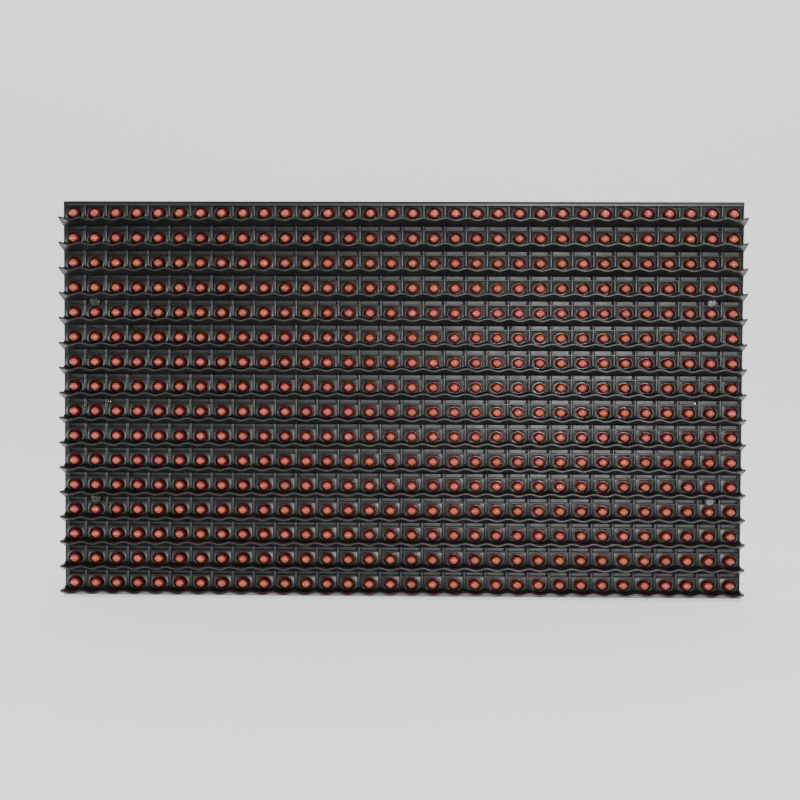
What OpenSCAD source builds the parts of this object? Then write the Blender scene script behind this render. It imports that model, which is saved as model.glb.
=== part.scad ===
// LED dot matrix module: a grid of round lamps behind a louvred mask, board and open-backed frame.
// Millimetres. +X right, +Z up, the lamps face -Y. It stands on its long lower edge (z = 0),
// the origin is the middle of the underside. Depths below are measured from the mask's face,
// negative towards the viewer, positive towards the back.

/* [Lamp grid] */
// lamps in one row
cols = 32; // [32:8:40]
// rows of lamps
rows = 16; // [12:4:20]
// distance between lamp columns
pitch_x = 10; // [9.6:0.1:12]
// distance between lamp rows
pitch_z = 11.65; // [10.6:0.05:12.5]

/* [Louvre mask] */
// thickness of the mask plate
plate_t = 1.6; // [1.2:0.1:1.8]
// how far each visor reaches in front of the plate
fin_reach = 9.3; // [7.5:0.1:11]
// half the height of the wave in each visor
wave_amp = 0.55; // [0.3:0.05:0.7]
// height of the thin wall above each row of lamps
wall_h = 0.9; // [0.7:0.1:2]
// width of the ribs between lamps
rib_w = 1.4; // [1:0.1:1.8]
// diameter of each lamp's opening
hole_d = 5.9; // [5.6:0.1:6]

/* [Lamps] */
// diameter of a lens
lens_d = 5.3; // [4.8:0.1:5.4]
// how far a lens stands in front of the plate
lens_out = 3; // [2.6:0.1:4]
// diameter of a lead
lead_d = 0.55; // [0.45:0.05:0.6]
// distance between the two leads of a lamp
lead_gap = 2.54; // [2.5:0.02:2.6]

/* [Board and frame] */
// thickness of the circuit board
board_t = 1.6; // [1.2:0.1:1.8]
// depth from the mask's face to the back of the frame
frame_back = 16.4; // [15.8:0.1:20]
// wall of the frame around the board
frame_wall = 1.5; // [1.2:0.1:1.6]
// width of the bars across the back
bar_w = 6; // [5.4:0.1:6]

/* [Fixings] */
// outside diameter of a threaded insert
insert_d = 4.6; // [4.2:0.1:5]
// length of a threaded insert
insert_l = 6; // [4:0.5:6.5]
// tapping diameter of a threaded insert
insert_bore = 2.5; // [2.4:0.1:3.2]

/* [Hidden] */
$fn = 48;

W = cols * pitch_x;
H = rows * pitch_z;
y0 = (fin_reach - frame_back) / 2;      // where the mask's face lies
half_z = pitch_z / 2;

// visor: middle of the wavy sheet and its thickness, measured from the lamp's centre
fin_mid = -3.55;
fin_t = 0.9;
fin_tip = -4.45;                        // underside at the tip
fin_foot = 1.2;                         // reach of the underside at its lower edge
wall_z = 3.6;
wall_t = 0.45;
crest = fin_mid + fin_t / 2 + wave_amp;
trough = crest - 2 * wave_amp;
wave_half = pitch_x / 2;                // half the width of the arc under each lamp
wave_r = (wave_half * wave_half + 4 * wave_amp * wave_amp) / (4 * wave_amp);

// depth stack
flange_d0 = 1.7;
flange_d1 = 2.7;
flange_d = 6;
board_d0 = 4.6;
board_d1 = board_d0 + board_t;
board_in = 1.7;                         // board edge, in from the outline
ledge_in = 3.1;                         // inner face of the ledge behind the board
lead_end = board_d1 + 1.5;

// walls, slots and the top border stop this far short of the left end
end_gap = 2;
rib_low = 0.4;                          // height of a rib at its lower end
rib_h = 0.7;

// mask screws: on the middle of the second column from each end
mask_boss_h = 1.8;
mask_head_r = 1.6;
mask_shank_r = 1.1;
mask_screw_x = W / 2 - 1.5 * pitch_x;
mask_screw_z = [rows / 4 * pitch_z - 0.5, rows * 3 / 4 * pitch_z - 0.5];
mask_screws_at = [for (x = [-mask_screw_x, mask_screw_x], z = mask_screw_z) [x, z]];
mask_screw_end = board_d1 + 6.2;

// bars across the back, and the board screws where they cross the column lines
bar_x = 5 * pitch_x;
bar_z = [(rows / 2 - 3) * pitch_z, (rows / 2 + 3) * pitch_z];
board_screws_at = [for (x = [-13 * pitch_x, -bar_x, bar_x, 13 * pitch_x], z = bar_z) [x, z]];
board_head_r = 2.25;
board_head_h = 1.9;
board_shank_r = 1.25;
board_screw_end = board_d1 + 6;

// threaded inserts that hold the module in a cabinet
insert_x = W / 2 - pitch_x;
inserts_at = [for (x = [-insert_x, 0, insert_x], z = [pitch_z, H - pitch_z]) [x, z]];
insert_boss_r = 4;

// parts on the back of the board
mid_z = H / 2;
ic_rows = [-5, -1, 1, 5];
register_at = [for (k = ic_rows, x = [-9.5, -2.5, 2.5, 9.5]) [x * pitch_x, mid_z + k * pitch_z]];
buffer_at = [[-12 * pitch_x, mid_z], [-10.5 * pitch_x, mid_z]];
decoder_at = [[7.5 * pitch_x, mid_z]];
switch_at = [for (x = [-3.6, -2.2, 2.2, 3.6]) [x * pitch_x, mid_z]];
soic_w = 3.9;
soic_l = 9.9;
soic8_l = 4.9;
tssop_l = 6.5;
tssop_w = 4.4;
ic_gap = 0.1;
ic_h = 1.5;
tssop_h = 1;
can_at = [[-pitch_x, mid_z + 2 * pitch_z], [pitch_x, mid_z - 2 * pitch_z]];
can_r = 3.15;
header_x = W / 2 - 2 * pitch_x;
header_w = 8.9;
header_l = 28;
header_h = 9;
header_in_w = 6.5;
header_in_l = 25.6;
header_floor = 2.2;
header_pin = 0.64;
header_at = [[-header_x, mid_z], [header_x, mid_z]];
power_w = 8.2;
power_l = 15.8;
power_base = 3.2;
power_h = 9.4;
power_pin = 1.14;
power_pitch = 3.96;
tail_d0 = flange_d1;                    // the header and power pins end flush with the potting

function lamp_x(c) = (c + 0.5) * pitch_x - W / 2;
function lamp_z(r) = (r + 0.5) * pitch_z;

// a flat shape drawn in x and z, filled from depth d0 to depth d1
module layer(d0, d1) translate([0, y0 + d1, 0]) rotate([90, 0, 0]) linear_extrude(d1 - d0) children();

// a round bar along Y
module rod(r, d0, d1) translate([0, y0 + d1, 0]) rotate([90, 0, 0]) cylinder(h = d1 - d0, r = r);

// children at a list of [x, z]
module at(list) for (p = list) translate([p[0], 0, p[1]]) children();

// the same, for flat shapes
module at2(list) for (p = list) translate(p) children();

// children at every lamp
module lamp_grid() for (r = [0:rows - 1], c = [0:cols - 1]) translate([lamp_x(c), 0, lamp_z(r)]) children();

// children at every lamp lead, for flat shapes
module lead_grid() for (r = [0:rows - 1], c = [0:cols - 1], s = [-1, 1])
    translate([lamp_x(c), lamp_z(r) + s * lead_gap / 2]) children();

module box2(x0, x1, z0, z1) translate([x0, z0]) square([x1 - x0, z1 - z0]);

// louvre mask ------------------------------------------------------------------------------

// section of plate, visors and drip walls, in [depth, z]
function mask_section() = concat(
    [[plate_t, 0]],
    [for (r = [0:rows - 1]) let (z = lamp_z(r), top = r == rows - 1)
        each concat(
            r == 0 ? [] : [[0, z - half_z]],
            [[-fin_foot, z - half_z],
             [-fin_reach, z + fin_tip],
             [-fin_reach, z + crest + 0.1],
             [0, z + crest + 0.1],
             [0, z + wall_z],
             [-wall_h, z + wall_z]],
            top ? [[-wall_h, z + half_z]]
                : [[-wall_h, z + wall_z + wall_t], [0, z + wall_z + wall_t]])],
    [[plate_t, H]]);

// what is cut away above one visor: a shallow arc under each lamp, leaving a crest between lamps
module wave_cut(z) intersection() {
    union() for (c = [0:cols - 1]) translate([lamp_x(c), z + trough + wave_r]) circle(r = wave_r);
    box2(-W / 2 - 1, W / 2 + 1, z + trough - 1, z + crest + 0.3);
}

// the ribs of one column line, joined inside the plate, in [z, height]
function rib_line() = concat(
    [[0.3, -plate_t], [0.3, -0.4]],
    [for (r = [0:rows - 1]) let (z = lamp_z(r)) each
        r == rows - 1
            ? [[z - 1.57, -0.4], [z - 1.57, rib_low], [z + 2.6, rib_h], [H, rib_h], [H, -plate_t]]
            : [[z - 1.57, -0.4], [z - 1.57, rib_low], [z + 2.6, rib_h],
               [z + pitch_z - 4.75, rib_h], [z + pitch_z - 4.75, -0.4]]]);

module rib(x, w) translate([x, y0, 0]) rotate([90, 0, 90]) linear_extrude(w)
    rotate(90) polygon(rib_line());

module louvre_mask() {
    color([0.07, 0.07, 0.075]) difference() {
        union() {
            difference() {
                translate([-W / 2, y0, 0]) rotate([90, 0, 90]) linear_extrude(W) polygon(mask_section());
                layer(-0.5, plate_t + 0.5) for (r = [0:rows - 2])
                    box2(-W / 2 + end_gap, W / 2 + 1, lamp_z(r) + wall_z + wall_t, lamp_z(r) + half_z);
            }
            for (c = [1:cols - 1]) rib(c * pitch_x - W / 2 - rib_w / 2, rib_w);
            rib(W / 2 - rib_w / 2, rib_w / 2);
            at(mask_screws_at) rod(2.3, -mask_boss_h, 0.4);
        }
        for (r = [0:rows - 1]) layer(-fin_reach - 1, 0) wave_cut(lamp_z(r));
        layer(-wall_h - 1, 0) for (r = [0:rows - 1])
            box2(-W / 2 - 1, -W / 2 + end_gap, lamp_z(r) + crest + 0.1, lamp_z(r) + half_z + (r == rows - 1 ? 1 : 0));
        layer(-0.5, plate_t + 0.5) for (r = [0:rows - 1], c = [0:cols - 1])
            translate([lamp_x(c), lamp_z(r)]) circle(d = hole_d);
        at(mask_screws_at) {
            rod(1.8, -fin_reach - 1, -mask_boss_h);
            rod(mask_shank_r + 0.2, -mask_boss_h - 0.5, plate_t + 0.5);
        }
    }
}

// lamps ------------------------------------------------------------------------------------

// each lens is a flange, a straight body and a round dome
module lamp_lenses() {
    r = lens_d / 2;
    color([0.75, 0.12, 0.1, 0.8]) {
        lamp_grid() rod(r, r - lens_out, flange_d1);
        lamp_grid() translate([0, y0 + r - lens_out, 0]) sphere(r = r);
        lamp_grid() rod(flange_d / 2, flange_d0, flange_d1);
    }
}

module lamp_leads() {
    color([0.75, 0.75, 0.77]) for (r = [0:rows - 1], c = [0:cols - 1], s = [-1, 1])
        translate([lamp_x(c), 0, lamp_z(r) + s * lead_gap / 2]) rod(lead_d / 2, flange_d1, lead_end);
}

module potting_layer() {
    color([0.05, 0.05, 0.055]) layer(flange_d1, board_d0) difference() {
        potting_outline();
        lead_grid() circle(d = lead_d);
        at2(mask_screws_at) circle(r = 1.6);
        at2(board_screws_at) circle(r = board_head_r);
        header_grid() square(header_pin, center = true);
        power_grid() square(power_pin, center = true);
    }
}

module potting_outline() box2(-W / 2 + frame_wall, W / 2 - frame_wall, frame_wall, H - frame_wall);

module header_grid() at2(header_at) for (i = [-1, 1], k = [0:7]) translate([i * 1.27, (k - 3.5) * 2.54]) children();
module power_grid() for (k = [0:3]) translate([0, mid_z + (k - 1.5) * power_pitch]) children();

// board ------------------------------------------------------------------------------------

module circuit_board() {
    color([0.1, 0.32, 0.16]) layer(board_d0, board_d1) difference() {
        box2(-W / 2 + board_in, W / 2 - board_in, board_in, H - board_in);
        lead_grid() circle(d = 0.9);
        at2(mask_screws_at) circle(r = 1.6);
        at2(board_screws_at) circle(r = 1.4);
        header_grid() circle(r = 0.5);
        power_grid() circle(r = 0.85);
    }
}

// frame ------------------------------------------------------------------------------------

module bars(w) {
    for (s = [-1, 1]) box2(s * bar_x - w / 2, s * bar_x + w / 2, ledge_in - 0.5, H - ledge_in + 0.5);
    for (z = bar_z) box2(-W / 2 + ledge_in - 0.5, W / 2 - ledge_in + 0.5, z - w / 2, z + w / 2);
}

module webs() {
    for (s = [-1, 1], z = mask_screw_z)
        box2(min(s * mask_screw_x, s * (W / 2 - 2)), max(s * mask_screw_x, s * (W / 2 - 2)), z - 0.9, z + 0.9);
    for (s = [-1, 1], z = [pitch_z, H - pitch_z])
        box2(min(s * insert_x, s * (W / 2 - 2)), max(s * insert_x, s * (W / 2 - 2)), z - 1.2, z + 1.2);
    for (x = [-insert_x, 0, insert_x]) {
        box2(x - 1.2, x + 1.2, 2, pitch_z);
        box2(x - 1.2, x + 1.2, H - pitch_z, H - 2);
    }
}

module rear_frame() {
    color([0.09, 0.09, 0.1]) difference() {
        union() {
            layer(plate_t, board_d1) difference() {
                box2(-W / 2, W / 2, 0, H);
                box2(-W / 2 + frame_wall, W / 2 - frame_wall, frame_wall, H - frame_wall);
            }
            layer(board_d1, frame_back) difference() {
                box2(-W / 2, W / 2, 0, H);
                box2(-W / 2 + ledge_in, W / 2 - ledge_in, ledge_in, H - ledge_in);
            }
            layer(board_d1, board_d1 + 2.2) bars(bar_w);
            layer(board_d1 + 2.2, frame_back) difference() {
                bars(bar_w);
                bars(bar_w - 3);
            }
            at(board_screws_at) rod(bar_w / 2, board_d1, frame_back - 1);
            layer(board_d1, board_d1 + 7) webs();
            at(mask_screws_at) rod(2.5, board_d1, board_d1 + 7.2);
            at(inserts_at) rod(insert_boss_r, board_d1, frame_back);
        }
        at(board_screws_at) rod(board_shank_r, board_d1 - 0.5, board_screw_end);
        at(mask_screws_at) rod(mask_shank_r, board_d1 - 0.5, mask_screw_end);
        at(inserts_at) rod(insert_d / 2, frame_back - insert_l, frame_back + 0.5);
    }
}

// electronics ------------------------------------------------------------------------------

module chip(l, w, h) layer(board_d1 + ic_gap, board_d1 + ic_gap + h) square([l, w], center = true);

module shift_registers() { color([0.12, 0.12, 0.13]) at(register_at) chip(soic_l, soic_w, ic_h); }
module buffers() { color([0.12, 0.12, 0.13]) at(buffer_at) chip(tssop_l, tssop_w, tssop_h); }
module decoder() { color([0.12, 0.12, 0.13]) at(decoder_at) chip(soic_l, soic_w, ic_h); }
module row_switches() { color([0.12, 0.12, 0.13]) at(switch_at) chip(soic8_l, soic_w, ic_h); }

// one bent lead beside a body of half width b, with its foot's end at e and its shoulder at height m
module gull(b, e, m, w) translate([-w / 2, y0 + board_d1, 0]) rotate([90, 0, 90]) linear_extrude(w)
    polygon([[0, e], [0.2, e], [m, b + 0.3], [m, b], [m - 0.2, b], [0, b + 0.45]]);

module gull_pair(b, e, m, w) {
    gull(b, e, m, w);
    mirror([0, 0, 1]) gull(b, e, m, w);
}

module ic_leads() {
    color([0.78, 0.78, 0.8]) union() {
        at(concat(register_at, decoder_at)) for (k = [0:7])
            translate([(k - 3.5) * 1.27, 0, 0]) gull_pair(soic_w / 2, 3, 0.95, 0.42);
        at(switch_at) for (k = [0:3])
            translate([(k - 1.5) * 1.27, 0, 0]) gull_pair(soic_w / 2, 3, 0.95, 0.42);
        at(buffer_at) for (k = [0:9])
            translate([(k - 4.5) * 0.65, 0, 0]) gull_pair(tssop_w / 2, 3.2, 0.7, 0.25);
    }
}

module chip_resistors() {
    color([0.1, 0.1, 0.11]) at(register_at) for (k = [0:7]) translate([7 + k * 1.5, 0, 0])
        layer(board_d1, board_d1 + 0.45) square([0.8, 1.6], center = true);
}

module chip_capacitors() {
    color([0.62, 0.5, 0.36]) union() {
        at(register_at) translate([-6.6, 0, 0]) layer(board_d1, board_d1 + 0.8) square([1.25, 2], center = true);
        at(concat(buffer_at, switch_at)) translate([-4.6, 0, 0])
            layer(board_d1, board_d1 + 0.8) square([1.25, 2], center = true);
        at(decoder_at) translate([-6.6, 0, 0]) layer(board_d1, board_d1 + 0.8) square([1.25, 2], center = true);
    }
}

module capacitor_bases() {
    color([0.08, 0.08, 0.09]) at(can_at) layer(board_d1, board_d1 + 0.8)
        polygon([[-3.3, -3.3], [2.2, -3.3], [3.3, -2.2], [3.3, 2.2], [2.2, 3.3], [-3.3, 3.3]]);
}

module capacitor_cans() { color([0.78, 0.78, 0.8]) at(can_at) rod(can_r, board_d1 + 0.8, board_d1 + 7.7); }

module data_header_shrouds() {
    color([0.1, 0.1, 0.11]) at(header_at) difference() {
        layer(board_d1, board_d1 + header_h) square([header_w, header_l], center = true);
        layer(board_d1 + header_floor, board_d1 + header_h + 1) square([header_in_w, header_in_l], center = true);
        translate([header_w / 2 - 2, y0 + board_d1 + header_floor + 1, -2.25]) cube([3, header_h, 4.5]);
        layer(board_d1 - 0.5, board_d1 + header_floor + 0.5) for (i = [-1, 1], k = [0:7])
            translate([i * 1.27, (k - 3.5) * 2.54]) square(header_pin, center = true);
    }
}

module data_header_pins() {
    color([0.85, 0.7, 0.35]) layer(tail_d0, board_d1 + 8.2) header_grid() square(header_pin, center = true);
}

module power_connector_housing() {
    color([0.9, 0.89, 0.84]) translate([0, 0, mid_z]) difference() {
        union() {
            layer(board_d1, board_d1 + power_base) square([power_w, power_l], center = true);
            layer(board_d1, board_d1 + power_h) translate([-power_w / 2, -power_l / 2]) square([1.3, power_l]);
        }
        layer(board_d1 + power_base, board_d1 + power_h + 1) for (z = [-6.2, 6.2])
            translate([-power_w / 2, z]) square([3, 0.8], center = true);
        layer(board_d1 - 0.5, board_d1 + power_base + 0.5) for (k = [0:3])
            translate([0, (k - 1.5) * power_pitch]) square(power_pin, center = true);
    }
}

module power_connector_pins() {
    color([0.8, 0.8, 0.82]) layer(tail_d0, board_d1 + 8.6) power_grid() square(power_pin, center = true);
}

// fasteners --------------------------------------------------------------------------------

module mask_screws() {
    color([0.35, 0.35, 0.37]) at(mask_screws_at) difference() {
        union() {
            rod(mask_head_r, -mask_boss_h - 1.2, -mask_boss_h);
            rod(mask_shank_r, -mask_boss_h - 0.2, mask_screw_end - 0.6);
        }
        layer(-mask_boss_h - 1.7, -mask_boss_h - 0.5) {
            square([1.9, 0.5], center = true);
            square([0.5, 1.9], center = true);
        }
    }
}

module board_screws() {
    color([0.7, 0.7, 0.72]) at(board_screws_at) difference() {
        union() {
            rod(board_head_r, board_d0 - board_head_h, board_d0);
            rod(board_shank_r, board_d0 - 0.2, board_screw_end - 0.6);
        }
        layer(board_d0 - board_head_h - 0.5, board_d0 - 0.8) {
            square([2.6, 0.6], center = true);
            square([0.6, 2.6], center = true);
        }
    }
}

module threaded_inserts() {
    color([0.8, 0.63, 0.3]) at(inserts_at) difference() {
        rod(insert_d / 2, frame_back - insert_l, frame_back);
        rod(insert_bore / 2, frame_back - insert_l - 1, frame_back + 1);
    }
}

louvre_mask();
lamp_lenses();
lamp_leads();
potting_layer();
circuit_board();
rear_frame();
shift_registers();
buffers();
decoder();
row_switches();
ic_leads();
chip_resistors();
chip_capacitors();
capacitor_bases();
capacitor_cans();
data_header_shrouds();
data_header_pins();
power_connector_housing();
power_connector_pins();
mask_screws();
board_screws();
threaded_inserts();
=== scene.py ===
import math

import bpy
import numpy as np
from mathutils import Matrix, Vector


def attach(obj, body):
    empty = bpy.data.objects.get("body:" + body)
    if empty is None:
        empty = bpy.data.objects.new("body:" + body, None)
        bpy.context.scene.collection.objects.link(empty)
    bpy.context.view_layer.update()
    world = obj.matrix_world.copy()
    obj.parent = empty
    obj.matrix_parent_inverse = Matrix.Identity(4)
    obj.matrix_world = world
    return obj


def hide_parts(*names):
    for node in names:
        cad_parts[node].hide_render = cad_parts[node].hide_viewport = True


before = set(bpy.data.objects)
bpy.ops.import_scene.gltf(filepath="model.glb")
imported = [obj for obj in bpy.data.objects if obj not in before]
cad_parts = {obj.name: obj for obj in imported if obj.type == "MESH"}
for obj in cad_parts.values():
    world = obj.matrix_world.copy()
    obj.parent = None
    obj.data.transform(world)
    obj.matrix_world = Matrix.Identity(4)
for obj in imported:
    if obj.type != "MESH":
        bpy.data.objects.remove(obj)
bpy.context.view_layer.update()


# sizes, in millimetres; h is the height in front of the mask's face ----------------------
COLS, ROWS = 32, 16
PX, PZ = 10.0, 11.65
W, H = COLS * PX, ROWS * PZ
Y0 = (9.3 - 16.4) / 2
REACH = 9.3
PLATE = 1.6
END_GAP = 2.0
rng = np.random.default_rng(7)


def lamp_x(i):
    return (i + 0.5) * PX - W / 2


def lamp_z(j):
    return (j + 0.5) * PZ


class Builder:
    """Collects vertices given as (x, h, z) in millimetres, and faces."""

    def __init__(self):
        self.v, self.f, self.n, self.attr = [], [], 0, []

    def add(self, pts, faces, attr=None):
        pts = np.asarray(pts, float)
        self.v.append(pts)
        for f in faces:
            self.f.append(np.asarray(f, int) + self.n)
        if attr is not None:
            self.attr.append(np.asarray(attr, float))
        self.n += len(pts)

    def repeat(self, pts, faces, offsets, attr=None, per=None):
        """The same block at each (dx, dz), with faces given as one array of quads and one of triangles."""
        pts = np.asarray(pts, float)
        for k, (dx, dz) in enumerate(offsets):
            self.v.append(pts + (dx, 0, dz))
            for f in faces:
                if len(f):
                    self.f.append(np.asarray(f, int) + self.n)
            if attr is not None:
                a = np.asarray(attr, float)
                if per is not None:
                    a = np.concatenate([a, np.repeat([per[k]], len(a), 0)], 1)
                self.attr.append(a)
            self.n += len(pts)

    def make(self, name, smooth=35.0, attr_names=()):
        v = np.concatenate(self.v)
        co = np.empty_like(v)
        co[:, 0], co[:, 1], co[:, 2] = v[:, 0], Y0 - v[:, 1], v[:, 2]
        co *= 0.001
        me = bpy.data.meshes.new(name)
        me.vertices.add(len(co))
        me.vertices.foreach_set("co", co.astype(np.float32).ravel())
        sizes = np.concatenate([np.full(len(f), f.shape[1]) for f in self.f])
        loops = np.concatenate([f.ravel() for f in self.f])
        me.loops.add(len(loops))
        me.loops.foreach_set("vertex_index", loops.astype(np.int32))
        me.polygons.add(len(sizes))
        me.polygons.foreach_set("loop_start", np.concatenate([[0], np.cumsum(sizes)[:-1]]).astype(np.int32))
        me.update(calc_edges=True)
        me.validate()
        if smooth:
            me.polygons.foreach_set("use_smooth", np.ones(len(me.polygons), bool))
            me.set_sharp_from_angle(angle=math.radians(smooth))
        for k, a in enumerate(attr_names):
            at = me.attributes.new(a, "FLOAT", "POINT")
            at.data.foreach_set("value", np.concatenate(self.attr)[:, k].astype(np.float32))
        o = bpy.data.objects.new(name, me)
        bpy.context.scene.collection.objects.link(o)
        return o


def grid_faces(rows, cols, closed=False, flip=False):
    """Quads joining rows of points, each row with cols points."""
    r, c = np.meshgrid(np.arange(rows - 1), np.arange(cols if closed else cols - 1), indexing="ij")
    a = r * cols + c
    b = r * cols + (c + 1) % cols
    q = np.stack([a, b, b + cols, a + cols], -1).reshape(-1, 4)
    return q[:, ::-1] if flip else q


def ring(rx, rz, h, n, phase=0.0):
    t = np.arange(n) * 2 * math.pi / n + phase
    return np.stack([rx * np.cos(t), np.full(n, h), rz * np.sin(t)], -1)


OFFSETS = [(lamp_x(i), lamp_z(j)) for j in range(ROWS) for i in range(COLS)]

# ------------------------------------------------------------------------------------------
# the mask: plate with oval openings, visors, ribs, walls and bosses
# ------------------------------------------------------------------------------------------
HOLE_X, HOLE_Z = 3.1, 2.75


SLOT_Z0, SLOT_Z1 = 4.05, PZ / 2
RIB_HALF = 0.7


def make_plate():
    """Each cell: an oval opening with a low collar, in a panel that ends at the slot above it."""
    b = Builder()
    n = 24
    t = np.arange(n) * 2 * math.pi / n
    c, s = np.cos(t), np.sin(t)

    def outline(z_top):
        """Points on the cell's edge, in the same order as the opening's ring."""
        up = np.where(s > 0, z_top, PZ / 2)
        k = 1 / np.maximum(np.abs(c) / (PX / 2), np.abs(s) / up)
        edge = np.stack([c * k, np.zeros(n), s * k], -1)
        for cx in (-1, 1):
            for cz, zz in ((-1, -PZ / 2), (1, z_top)):
                p = np.array([cx * PX / 2, 0, zz])
                edge[np.argmin(((edge - p) ** 2).sum(1))] = p
        return edge

    for slot in (True, False):
        edge = outline(SLOT_Z0 if slot else PZ / 2)
        rows = [edge,
                ring(HOLE_X + 1.15, HOLE_Z + 1.05, 0.0, n),
                ring(HOLE_X + 0.72, HOLE_Z + 0.66, 0.17, n),
                ring(HOLE_X + 0.38, HOLE_Z + 0.34, 0.24, n),
                ring(HOLE_X + 0.14, HOLE_Z + 0.12, 0.12, n),
                ring(HOLE_X, HOLE_Z, -0.15, n),
                ring(HOLE_X - 0.02, HOLE_Z - 0.02, -PLATE, n),
                edge + (0, -PLATE, 0)]
        cells = [(x, z) for x, z in OFFSETS if (z < H - PZ) == slot]
        b.repeat(np.concatenate(rows), [grid_faces(len(rows), n, closed=True, flip=True)], cells)
    # the plate across each slot, at the ribs, and the slots' walls
    for j in range(ROWS - 1):
        z = lamp_z(j)
        for c in range(COLS + 1):
            xm = c * PX - W / 2
            xa = xm - (RIB_HALF if c else 0)
            xb = xm + (RIB_HALF if 0 < c < COLS else END_GAP if c == 0 else 0)
            p = [(xa, 0, z + SLOT_Z0), (xb, 0, z + SLOT_Z0), (xb, 0, z + SLOT_Z1), (xa, 0, z + SLOT_Z1)]
            q = [(x, -PLATE, zz) for x, _, zz in p]
            b.add(p + q, [np.array([[0, 1, 2, 3], [7, 6, 5, 4], [0, 3, 7, 4], [1, 5, 6, 2]])])
            if c < COLS:
                xc = (c + 1) * PX - W / 2 - RIB_HALF
                lo = [(xb, 0, z + SLOT_Z0), (xc, 0, z + SLOT_Z0), (xc, -PLATE, z + SLOT_Z0), (xb, -PLATE, z + SLOT_Z0)]
                hi = [(xb, 0, z + SLOT_Z1), (xc, 0, z + SLOT_Z1), (xc, -PLATE, z + SLOT_Z1), (xb, -PLATE, z + SLOT_Z1)]
                b.add(lo + hi, [np.array([[3, 2, 1, 0], [4, 5, 6, 7]])])
    # the four outer edges of the plate
    x0, x1, z0, z1 = -W / 2, W / 2, 0.0, H
    p = [(x0, 0, z0), (x1, 0, z0), (x1, 0, z1), (x0, 0, z1)]
    q = [(x, -PLATE, z) for x, _, z in p]
    b.add(p + q, [np.array([[k, 4 + k, 4 + (k + 1) % 4, (k + 1) % 4] for k in range(4)])])
    return b.make("mask_plate", smooth=40)


def wave(x):
    """Top of the visor above the lamp's centre line, at x measured from the module's middle."""
    return -2.90 + 0.55 * np.cos(2 * math.pi * (x + W / 2) / PX)


def make_visors():
    b = Builder()
    per = 12
    xs = np.linspace(-W / 2, W / 2, COLS * per + 1)
    for j in range(ROWS):
        z = lamp_z(j)
        zt = z + wave(xs)
        zb = zt - 0.86
        foot = z - PZ / 2
        o = np.ones_like(xs)
        prof = [(zt + 0.85, -0.05 * o), (zt + 0.42, 0.12 * o), (zt + 0.12, 0.42 * o), (zt, 0.9 * o),
                (zt, (REACH - 0.22) * o), (zt - 0.06, (REACH - 0.06) * o), (zt - 0.22, REACH * o),
                (zb + 0.20, REACH * o), (zb + 0.05, (REACH - 0.07) * o), (zb - 0.03, (REACH - 0.3) * o),
                (foot + 0.10 * o, 1.35 * o), (foot + 0.0 * o, 1.05 * o), (foot + 0.0 * o, -0.1 * o)]
        pts = np.stack([np.stack([xs, h, zz], -1) for zz, h in prof])
        b.add(pts.reshape(-1, 3), [grid_faces(len(prof), len(xs), flip=False)])
        # the two ends
        m = len(prof)
        for e, k in ((0, 0), (len(xs) - 1, 1)):
            cap = pts[:, e, :]
            mid = cap.mean(0)
            ends = np.concatenate([cap, [mid]])
            tri = np.array([[i, (i + 1) % m, m] for i in range(m)])
            b.add(ends, [tri if k == 0 else tri[:, ::-1]])
    return b.make("mask_visors", smooth=40)


def rib_block(half, left=True, right=True, top=False):
    """One rib from its lower end to the foot of the visor above, as rings of points across it."""
    z_end = 5.83 if top else 6.9
    stations = [(-1.62, 0.05, 0), (-1.62, 0.28, 1), (-1.50, 0.40, 1), (-1.1, 0.45, 1), (0.4, 0.56, 1),
                (1.8, 0.68, 1), (2.8, 0.74, 1), (3.8, 0.74, 1), (4.8, 0.74, 1), (z_end, 0.74, 1)]
    rows = []
    for z, h, _ in stations:
        f = 0.30
        r = 0.26 * min(1, h / 0.6)
        low = min(f, h * 0.45)
        w = half
        pts = []
        if left:
            pts += [(-w - f, -0.05), (-w - f * 0.32, low * 0.30), (-w, low), (-w + 0.03, h - r), (-w + 0.12, h - 0.3 * r), (-w + 0.30, h)]
        else:
            pts += [(0, -0.05), (0, low * 0.3), (0, low), (0, h - r), (0.0, h - 0.08), (0.05, h)]
        if right:
            pts += [(w - 0.30, h), (w - 0.12, h - 0.3 * r), (w - 0.03, h - r), (w, low), (w + f * 0.32, low * 0.30), (w + f, -0.05)]
        else:
            pts += [(-0.05, h), (0, h - 0.08), (0, h - r), (0, low), (0, low * 0.3), (0, -0.05)]
        rows.append([(x, hh, z) for x, hh in pts])
    rows = np.array(rows)
    m = rows.shape[1]
    pts = rows.reshape(-1, 3)
    quads = grid_faces(len(stations), m, closed=True, flip=False)
    c0 = np.array([[k, (k + 1) % m, len(pts)] for k in range(m)])
    c1 = np.array([[(k + 1) % m + (len(stations) - 1) * m, k + (len(stations) - 1) * m, len(pts) + 1] for k in range(m)])
    pts = np.concatenate([pts, [rows[0].mean(0)], [rows[-1].mean(0)]])
    return pts, [quads, np.concatenate([c0, c1])]


def make_ribs():
    b = Builder()
    for j in range(ROWS):
        top = j == ROWS - 1
        pts, faces = rib_block(0.60, top=top)
        b.repeat(pts, faces, [(c * PX - W / 2, lamp_z(j)) for c in range(1, COLS)])
        pts, faces = rib_block(0.60, right=False, top=top)
        b.repeat(pts, faces, [(W / 2, lamp_z(j))])
    return b.make("mask_ribs", smooth=38)


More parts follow.
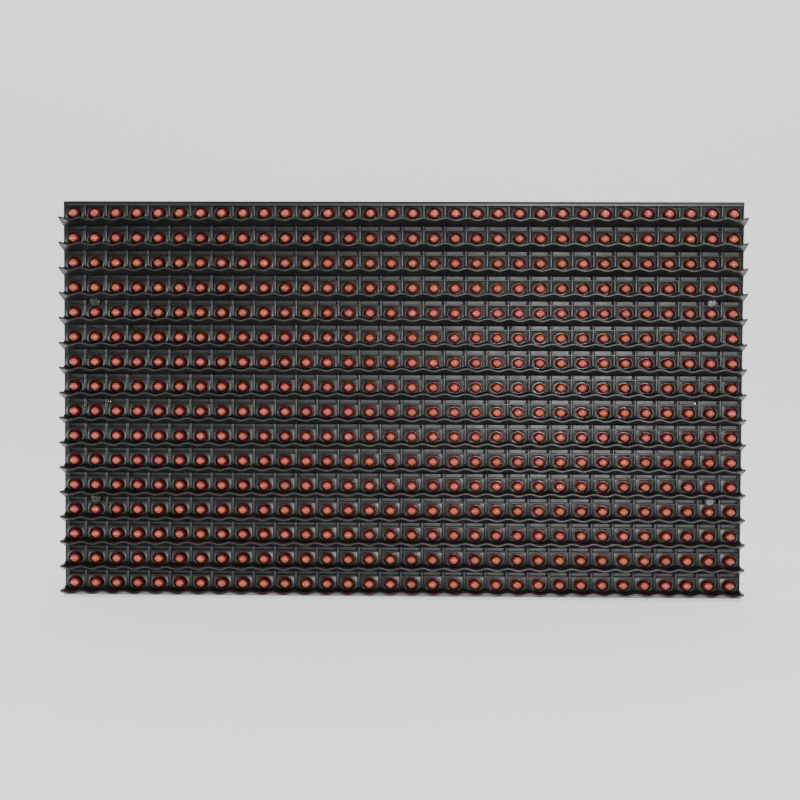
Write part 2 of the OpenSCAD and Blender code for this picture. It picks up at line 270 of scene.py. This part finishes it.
def sweep_x(b, prof, x0, x1, n=2):
    """A closed section, given as (z, h) points, swept from x0 to x1, with both ends closed."""
    xs = np.linspace(x0, x1, n)
    pts = np.stack([[(x, h, z) for x in xs] for z, h in prof])
    m = len(prof)
    idx = np.arange(m * n).reshape(m, n)
    q = []
    for k in range(m):
        for i in range(n - 1):
            q.append([idx[k, i], idx[k, i + 1], idx[(k + 1) % m, i + 1], idx[(k + 1) % m, i]])
    b.add(pts.reshape(-1, 3), [np.array(q)])
    for e in (0, n - 1):
        cap = pts[:, e, :]
        ends = np.concatenate([cap, [cap.mean(0)]])
        tri = np.array([[i, (i + 1) % m, m] for i in range(m)])
        b.add(ends, [tri if e == 0 else tri[:, ::-1]])


def make_walls():
    b = Builder()
    wt, wh = 0.45, 0.9
    for j in range(ROWS):
        z = lamp_z(j) + 3.6
        if j < ROWS - 1:
            prof = [(z - 0.35, -0.05), (z - 0.12, 0.08), (z, 0.30), (z + 0.02, wh - 0.14), (z + 0.10, wh - 0.02),
                    (z + wt - 0.10, wh - 0.02), (z + wt, wh - 0.14), (z + wt, -0.05)]
        else:
            prof = [(z - 0.35, -0.05), (z - 0.12, 0.08), (z, 0.30), (z + 0.02, wh - 0.25), (z + 0.12, wh - 0.08), (z + 0.3, wh),
                    (H - 0.3, wh), (H - 0.08, wh - 0.08), (H, wh - 0.3), (H, -0.05)]
        sweep_x(b, prof, -W / 2 + END_GAP, W / 2, n=5)
    # bosses round the four mask screws
    n = 28
    for sx in (-1, 1):
        for j in (ROWS // 4, 3 * ROWS // 4):
            x, z = sx * (W / 2 - 1.5 * PX), j * PZ - 0.5
            rows = [ring(2.3, 2.3, -PLATE, n), ring(2.3, 2.3, 0.5, n), ring(2.26, 2.26, 1.5, n),
                    ring(2.16, 2.16, 1.72, n), ring(1.95, 1.95, 1.8, n), ring(1.45, 1.45, 1.8, n), ring(1.33, 1.33, 1.7, n), ring(1.33, 1.33, -0.4, n)]
            p = np.concatenate(rows) + (x, 0, z)
            b.add(p, [grid_faces(len(rows), n, closed=True, flip=True)])
    return b.make("mask_walls", smooth=38)


# ------------------------------------------------------------------------------------------
# the lamps
# ------------------------------------------------------------------------------------------
def make_lenses():
    b = Builder()
    n = 22
    rx, rz = 2.72, 2.45
    rows = [ring(rx, rz, -2.68, n), ring(rx, rz, -0.6, n), ring(rx * 0.985, rz * 0.985, 0.3, n)]
    for a in (18, 36, 54, 70, 82):
        c, s = math.cos(math.radians(a)), math.sin(math.radians(a))
        rows.append(ring(rx * 0.985 * c, rz * 0.985 * c, 0.3 + 2.68 * s, n))
    pts = np.concatenate(rows + [[(0, 2.98, 0)], [(0, -2.68, 0)]])
    top, bottom = len(pts) - 2, len(pts) - 1
    last = (len(rows) - 1) * n
    quads = grid_faces(len(rows), n, closed=True, flip=False)
    tris = np.array([[last + (k + 1) % n, top, last + k] for k in range(n)] + [[k, bottom, (k + 1) % n] for k in range(n)])
    uv = np.stack([pts[:, 0] / rx, pts[:, 2] / rz], -1)
    per = rng.random((len(OFFSETS), 2))
    b.repeat(pts, [quads, tris], OFFSETS, attr=uv, per=per)
    return b.make("lenses", smooth=50, attr_names=("lens_u", "lens_v", "lens_a", "lens_b"))


def make_flanges():
    b = Builder()
    n = 16
    rows = [ring(3.0, 2.7, -1.72, n), ring(3.0, 2.7, -2.68, n)]
    pts = np.concatenate(rows + [[(0, -1.72, 0)], [(0, -2.68, 0)]])
    quads = grid_faces(2, n, closed=True, flip=True)
    tris = np.array([[(k + 1) % n, 2 * n, k] for k in range(n)] + [[n + k, 2 * n + 1, n + (k + 1) % n] for k in range(n)])
    b.repeat(pts, [quads, tris], OFFSETS)
    return b.make("lens_flanges", smooth=40)


def make_solder():
    """A small fillet of solder round each lamp lead on the back of the board."""
    b = Builder()
    n = 10
    back = -6.2
    rows = [ring(0.82, 0.82, back, n), ring(0.60, 0.60, back - 0.16, n), ring(0.40, 0.40, back - 0.55, n),
            ring(0.33, 0.33, back - 1.05, n)]
    pts = np.concatenate(rows + [[(0, back - 1.12, 0)], [(0, back + 0.02, 0)]])
    quads = grid_faces(len(rows), n, closed=True, flip=True)
    last = (len(rows) - 1) * n
    tris = np.array([[last + k, 4 * n, last + (k + 1) % n] for k in range(n)] + [[(k + 1) % n, 4 * n + 1, k] for k in range(n)])
    offs = [(x, z + s * 1.27) for x, z in OFFSETS for s in (-1, 1)]
    b.repeat(pts, [quads, tris], offs)
    return b.make("solder_joints", smooth=60)


# ------------------------------------------------------------------------------------------
# materials
# ------------------------------------------------------------------------------------------
def material(name):
    m = bpy.data.materials.new(name)
    m.use_nodes = True
    nt = m.node_tree
    return m, nt, nt.nodes["Principled BSDF"]


def node(nt, kind, **inputs):
    n = nt.nodes.new(kind)
    for k, v in inputs.items():
        if k in ("operation", "blend_type", "data_type", "attribute_name", "noise_dimensions", "feature", "wave_type", "bands_direction", "use_clamp"):
            setattr(n, k, v)
        else:
            n.inputs[k].default_value = v
    return n


def math_node(nt, op, a, b=None, clamp=False):
    n = nt.nodes.new("ShaderNodeMath")
    n.operation = op
    n.use_clamp = clamp
    for k, v in enumerate((a, b)):
        if v is None:
            continue
        if isinstance(v, (int, float)):
            n.inputs[k].default_value = v
        else:
            nt.links.new(v, n.inputs[k])
    return n.outputs[0]


def smooth_step(nt, v, lo, hi):
    n = nt.nodes.new("ShaderNodeMapRange")
    n.interpolation_type = "SMOOTHSTEP"
    nt.links.new(v, n.inputs["Value"])
    n.inputs["From Min"].default_value = lo
    n.inputs["From Max"].default_value = hi
    return n.outputs["Result"]


def mix(nt, fac, a, b, blend="MIX"):
    n = nt.nodes.new("ShaderNodeMix")
    n.data_type = "RGBA"
    n.blend_type = blend
    for sock, v in (("Factor", fac), ("A", a), ("B", b)):
        s = [x for x in n.inputs if x.name == sock and (x.type == "RGBA" or sock == "Factor" and x.type == "VALUE")][0]
        if isinstance(v, (int, float)):
            s.default_value = v
        elif isinstance(v, (tuple, list)):
            s.default_value = tuple(v) + (1.0,) * (4 - len(v))
        else:
            nt.links.new(v, s)
    return [x for x in n.outputs if x.type == "RGBA"][0]


def coords(nt):
    return nt.nodes.new("ShaderNodeTexCoord").outputs["Object"]


def noise(nt, vec, scale, detail=3.0, rough=0.55):
    n = nt.nodes.new("ShaderNodeTexNoise")
    n.inputs["Scale"].default_value = scale
    n.inputs["Detail"].default_value = detail
    n.inputs["Roughness"].default_value = rough
    nt.links.new(vec, n.inputs["Vector"])
    return n.outputs["Fac"]


def bump(nt, height, strength, distance, bsdf):
    n = nt.nodes.new("ShaderNodeBump")
    n.inputs["Strength"].default_value = strength
    n.inputs["Distance"].default_value = distance
    nt.links.new(height, n.inputs["Height"])
    nt.links.new(n.outputs["Normal"], bsdf.inputs["Normal"])


def plastic(name, dark, light, rough=(0.42, 0.58), grain=2600.0, strength=0.25, spec=0.5, blotch=22.0):
    """Moulded plastic: slight blotches in colour and sheen, and a fine grain."""
    m, nt, b = material(name)
    v = coords(nt)
    big = smooth_step(nt, noise(nt, v, blotch, 4), 0.35, 0.65)
    nt.links.new(mix(nt, big, dark, light), b.inputs["Base Color"])
    r = nt.nodes.new("ShaderNodeMapRange")
    nt.links.new(noise(nt, v, blotch * 9, 3), r.inputs["Value"])
    r.inputs["To Min"].default_value, r.inputs["To Max"].default_value = rough
    nt.links.new(r.outputs["Result"], b.inputs["Roughness"])
    b.inputs["Specular IOR Level"].default_value = spec
    bump(nt, noise(nt, v, grain, 2), strength, 0.00004, b)
    return m


def metal(name, dark, light, rough=(0.22, 0.38), scale=600.0):
    m, nt, b = material(name)
    v = coords(nt)
    n1 = smooth_step(nt, noise(nt, v, scale, 4), 0.3, 0.7)
    nt.links.new(mix(nt, n1, dark, light), b.inputs["Base Color"])
    b.inputs["Metallic"].default_value = 1.0
    r = nt.nodes.new("ShaderNodeMapRange")
    nt.links.new(noise(nt, v, scale * 2, 3), r.inputs["Value"])
    r.inputs["To Min"].default_value, r.inputs["To Max"].default_value = rough
    nt.links.new(r.outputs["Result"], b.inputs["Roughness"])
    bump(nt, noise(nt, v, scale * 4, 2), 0.15, 0.00003, b)
    return m


def lens_material():
    """Red epoxy with painted light: a painted dark rim stands in for the shade of the dome's internal reflection, and
    a painted bright centre, ring and four lobes stand in for the lit reflector cup seen through the dome.
    """
    m, nt, b = material("red_epoxy_lens")
    at = {}
    for a in ("lens_u", "lens_v", "lens_a", "lens_b"):
        n = nt.nodes.new("ShaderNodeAttribute")
        n.attribute_name = a
        at[a] = n.outputs["Fac"]
    u, v = at["lens_u"], at["lens_v"]
    u2, v2 = math_node(nt, "MULTIPLY", u, u), math_node(nt, "MULTIPLY", v, v)
    r = math_node(nt, "SQRT", math_node(nt, "ADD", u2, v2))
    # |u v| is large between the lobes
    cross = math_node(nt, "ABSOLUTE", math_node(nt, "MULTIPLY", u, v))
    between = smooth_step(nt, cross, 0.06, 0.24)
    # painted reflection: four bright lobes stand in for the lit reflector cup seen through the dome
    lobe = mix(nt, between, (0.74, 0.15, 0.11), (0.25, 0.022, 0.018))
    # painted reflection: a bright centre and a lighter ring, also standing in for the cup seen through the dome
    centre = smooth_step(nt, r, 0.08, 0.22)
    lobe = mix(nt, centre, (0.78, 0.21, 0.12), lobe)
    painted_cup_ring = math_node(nt, "MULTIPLY", smooth_step(nt, r, 0.13, 0.22), math_node(nt, "SUBTRACT", 1.0, smooth_step(nt, r, 0.24, 0.36)))
    lobe = mix(nt, math_node(nt, "MULTIPLY", painted_cup_ring, 0.55), lobe, (0.36, 0.050, 0.032))
    speckle = smooth_step(nt, noise(nt, coords(nt), 900.0, 2), 0.45, 0.7)
    lobe = mix(nt, math_node(nt, "MULTIPLY", speckle, 0.30), lobe, (0.80, 0.24, 0.16))
    deep = smooth_step(nt, r, 0.50, 0.74)
    col = mix(nt, deep, lobe, (0.20, 0.026, 0.020))
    # painted shade: a dark rim stands in for the dome's internal reflection
    painted_rim_shade = smooth_step(nt, r, 0.76, 0.93)
    col = mix(nt, painted_rim_shade, col, (0.085, 0.018, 0.014))
    shade = math_node(nt, "ADD", math_node(nt, "MULTIPLY", at["lens_a"], 0.22), 0.84)
    hue = mix(nt, math_node(nt, "MULTIPLY", math_node(nt, "MULTIPLY", at["lens_b"], 0.22), math_node(nt, "SUBTRACT", 1.0, deep)), col, (0.66, 0.16, 0.07))
    bw = nt.nodes.new("ShaderNodeMix")
    bw.data_type = "RGBA"
    bw.blend_type = "MULTIPLY"
    rgba = [x for x in bw.inputs if x.type == "RGBA"]
    bw.inputs[0].default_value = 1.0
    nt.links.new(hue, rgba[0])
    comb = nt.nodes.new("ShaderNodeCombineColor")
    for k in range(3):
        nt.links.new(shade, comb.inputs[k])
    nt.links.new(comb.outputs[0], rgba[1])
    nt.links.new([x for x in bw.outputs if x.type == "RGBA"][0], b.inputs["Base Color"])
    b.inputs["Roughness"].default_value = 0.09
    b.inputs["Specular IOR Level"].default_value = 0.6
    b.inputs["Subsurface Weight"].default_value = 0.0
    b.inputs["Coat Weight"].default_value = 0.25
    b.inputs["Coat Roughness"].default_value = 0.03
    return m


def board_material():
    """Green solder mask over copper: broad pours and thin tracks show as slightly lighter green."""
    m, nt, b = material("board_green")
    v = coords(nt)
    sep = nt.nodes.new("ShaderNodeSeparateXYZ")
    nt.links.new(v, sep.inputs[0])
    x, z = sep.outputs["X"], sep.outputs["Z"]
    # tracks along X, in bundles between the rows of lamps
    fz = math_node(nt, "FRACT", math_node(nt, "DIVIDE", z, PZ * 0.001))
    near = math_node(nt, "SUBTRACT", 1.0, smooth_step(nt, math_node(nt, "ABSOLUTE", math_node(nt, "SUBTRACT", math_node(nt, "ABSOLUTE", math_node(nt, "SUBTRACT", fz, 0.5)), 0.41)), 0.055, 0.065))
    lines = smooth_step(nt, math_node(nt, "SINE", math_node(nt, "MULTIPLY", z, 2 * math.pi / 0.0007)), 0.1, 0.3)
    cell = math_node(nt, "FLOOR", math_node(nt, "DIVIDE", x, 0.020))
    tn = nt.nodes.new("ShaderNodeTexWhiteNoise")
    tn.noise_dimensions = "2D"
    cv = nt.nodes.new("ShaderNodeCombineXYZ")
    nt.links.new(cell, cv.inputs[0])
    nt.links.new(math_node(nt, "FLOOR", math_node(nt, "DIVIDE", z, 0.0007)), cv.inputs[1])
    nt.links.new(cv.outputs[0], tn.inputs["Vector"])
    on = smooth_step(nt, tn.outputs["Value"], 0.30, 0.32)
    tracks = math_node(nt, "MULTIPLY", math_node(nt, "MULTIPLY", near, lines), on)
    big = smooth_step(nt, noise(nt, v, 35.0, 2), 0.50, 0.52)
    col = mix(nt, big, (0.012, 0.105, 0.042), (0.016, 0.130, 0.052))
    col = mix(nt, tracks, col, (0.040, 0.230, 0.085))
    nt.links.new(col, b.inputs["Base Color"])
    b.inputs["Roughness"].default_value = 0.28
    b.inputs["Coat Weight"].default_value = 0.3
    b.inputs["Coat Roughness"].default_value = 0.2
    bump(nt, math_node(nt, "ADD", tracks, math_node(nt, "MULTIPLY", noise(nt, v, 2500.0, 2), 0.25)), 0.35, 0.00004, b)
    return m


def assign(o, m):
    o.data.materials.clear()
    o.data.materials.append(m)


def cad(name, m, bevel=0.0, angle=35):
    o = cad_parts[name]
    assign(o, m)
    if bevel:
        mod = o.modifiers.new("edges", "BEVEL")
        mod.width = bevel * 0.001
        mod.segments = 2
        mod.limit_method = "ANGLE"
        mod.angle_limit = math.radians(angle)
        mod.harden_normals = True


mask_black = plastic("mask_black", (0.0085, 0.0096, 0.0096), (0.0145, 0.016, 0.016), rough=(0.26, 0.42), grain=1500.0, strength=0.30, blotch=30.0)
frame_black = plastic("frame_black", (0.014, 0.014, 0.015), (0.024, 0.024, 0.026), rough=(0.45, 0.62), grain=1200.0, strength=0.5)
red = lens_material()
flange_red = plastic("red_flange", (0.30, 0.018, 0.012), (0.42, 0.030, 0.020), rough=(0.2, 0.3), strength=0.05)
tin = metal("tin", (0.60, 0.60, 0.60), (0.78, 0.78, 0.77), rough=(0.25, 0.42))
solder = metal("solder", (0.62, 0.62, 0.63), (0.82, 0.82, 0.82), rough=(0.16, 0.32), scale=900)
potting = plastic("potting_black", (0.010, 0.010, 0.011), (0.020, 0.020, 0.021), rough=(0.25, 0.5), grain=400.0, strength=0.3)
green = board_material()
chip = plastic("chip_black", (0.016, 0.016, 0.018), (0.028, 0.028, 0.030), rough=(0.5, 0.66), grain=4000.0, strength=0.5)
resistor = plastic("resistor_black", (0.012, 0.012, 0.015), (0.022, 0.022, 0.026), rough=(0.2, 0.3), strength=0.1)
tan = plastic("capacitor_tan", (0.34, 0.22, 0.12), (0.46, 0.32, 0.19), rough=(0.35, 0.5), strength=0.2, blotch=160)
header_black = plastic("header_black", (0.012, 0.012, 0.013), (0.022, 0.022, 0.024), rough=(0.38, 0.5), grain=2500.0, strength=0.3)
nylon = plastic("nylon_white", (0.74, 0.71, 0.62), (0.82, 0.79, 0.71), rough=(0.3, 0.42), strength=0.1)
can = metal("can_aluminium", (0.66, 0.67, 0.68), (0.80, 0.80, 0.80), rough=(0.2, 0.3))
gold = metal("gold_pin", (0.80, 0.56, 0.22), (0.93, 0.72, 0.34), rough=(0.15, 0.28))
screw_dark = metal("screw_black", (0.045, 0.045, 0.05), (0.12, 0.12, 0.125), rough=(0.28, 0.42))
screw_bright = metal("screw_black_oxide", (0.012, 0.012, 0.013), (0.03, 0.03, 0.032), rough=(0.38, 0.5))
brass = metal("insert_brass", (0.55, 0.38, 0.13), (0.78, 0.58, 0.24), rough=(0.22, 0.36))

cad("lamp_leads", tin)
cad("potting_layer", potting)
cad("circuit_board", green)
cad("rear_frame", frame_black, bevel=0.25)
for n in ("shift_registers", "buffers", "decoder", "row_switches"):
    cad(n, chip, bevel=0.12)
cad("ic_leads", tin)
cad("chip_resistors", resistor, bevel=0.05)
cad("chip_capacitors", tan, bevel=0.06)
cad("capacitor_bases", header_black, bevel=0.1)
cad("capacitor_cans", can, bevel=0.25)
cad("data_header_shrouds", header_black, bevel=0.12)
cad("data_header_pins", gold, bevel=0.08)
cad("power_connector_housing", nylon, bevel=0.15)
cad("power_connector_pins", tin, bevel=0.12)
cad("mask_screws", screw_dark, bevel=0.1)
cad("board_screws", screw_bright, bevel=0.15)
cad("threaded_inserts", brass, bevel=0.1)

PIECES = []


def piece(o, m, slot, *stands_for):
    assign(o, m)
    if stands_for:
        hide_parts(*stands_for)
    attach(o, "root")
    PIECES.append(o)
    return o


piece(make_plate(), mask_black, "mask_plastic", "louvre_mask")
piece(make_visors(), mask_black, "mask_plastic", "louvre_mask")
piece(make_ribs(), mask_black, "mask_plastic", "louvre_mask")
piece(make_walls(), mask_black, "mask_plastic", "louvre_mask")
piece(make_lenses(), red, "red_epoxy", "lamp_lenses")
piece(make_flanges(), flange_red, "red_epoxy", "lamp_lenses")
piece(make_solder(), solder, "tinned_leads")

# ------------------------------------------------------------------------------------------
# floor and backdrop, lights, camera
# ------------------------------------------------------------------------------------------
scene = bpy.context.scene


def make_stage():
    """A pale floor that curves up into a backdrop behind the object."""
    prof = [(-2.2, 0.0), (0.35, 0.0)]
    for a in range(10, 91, 10):
        t = math.radians(a)
        prof.append((0.35 + 0.6 * math.sin(t), 0.6 - 0.6 * math.cos(t)))
    prof.append((0.95, 3.0))
    xs = (-3.5, 3.5)
    v = [(x, y, z) for y, z in prof for x in xs]
    f = [(2 * k, 2 * k + 1, 2 * k + 3, 2 * k + 2) for k in range(len(prof) - 1)]
    me = bpy.data.meshes.new("stage")
    me.from_pydata(v, [], f)
    me.polygons.foreach_set("use_smooth", [True] * len(me.polygons))
    o = bpy.data.objects.new("stage", me)
    scene.collection.objects.link(o)
    m, nt, b = material("stage_pale")
    b.inputs["Base Color"].default_value = (0.84, 0.84, 0.84, 1)
    b.inputs["Roughness"].default_value = 0.75
    b.inputs["Emission Color"].default_value = (1, 1, 1, 1)
    b.inputs["Emission Strength"].default_value = 0.86
    assign(o, m)
    return o


make_stage()


def area(name, at, towards, size, power, color=(1, 1, 1)):
    l = bpy.data.lights.new(name, "AREA")
    l.shape = "RECTANGLE"
    l.size, l.size_y = size
    l.energy = power
    l.color = color
    o = bpy.data.objects.new(name, l)
    scene.collection.objects.link(o)
    o.location = at
    d = Vector(towards) - Vector(at)
    o.rotation_euler = d.to_track_quat("-Z", "Y").to_euler()
    return o


area("sheen_right", (0.187, -1.0, 0.07), (0.03, 0, 0.09), (0.16, 0.24), 6.0)
area("right_up", (0.26, -0.42, 0.42), (0.10, 0, 0.08), (0.16, 0.16), 0.45)
area("top", (0.10, -0.30, 1.0), (0.05, 0, 0.09), (0.7, 0.4), 3.6)
area("left_low", (-0.60, -0.45, 0.10), (-0.10, 0, 0.09), (0.12, 0.12), 1.5)
world = bpy.data.worlds.new("studio")
world.use_nodes = True
world.node_tree.nodes["Background"].inputs[0].default_value = (1, 1, 1, 1)
world.node_tree.nodes["Background"].inputs[1].default_value = 0.15
scene.world = world

# camera, from the spacing and drift of the lamps across the picture
cam_data = bpy.data.cameras.new("camera")
cam = bpy.data.objects.new("camera", cam_data)
scene.collection.objects.link(cam)
yaw, pitch, roll = math.radians(-0.93), math.radians(1.87), math.radians(-0.22)
fwd = np.array([math.sin(yaw) * math.cos(pitch), math.cos(yaw) * math.cos(pitch), -math.sin(pitch)])
right = np.array([math.cos(yaw), -math.sin(yaw), 0.0])
down = np.cross(fwd, right)
r2 = math.cos(roll) * right + math.sin(roll) * down
d2 = -math.sin(roll) * right + math.cos(roll) * down
m = Matrix([[r2[k], -d2[k], -fwd[k], 0] for k in range(3)] + [[0, 0, 0, 1]])
cam.matrix_world = Matrix.Translation(Vector((0.0088, (Y0 - 589.7) * 0.001, (H / 2 + 12.6) * 0.001))) @ m
cam_data.sensor_width = 36.0
cam_data.lens = 1248.0 / 800.0 * 36.0
cam_data.shift_y = 14.0 / 800.0
cam_data.clip_start, cam_data.clip_end = 0.01, 20.0
scene.camera = cam
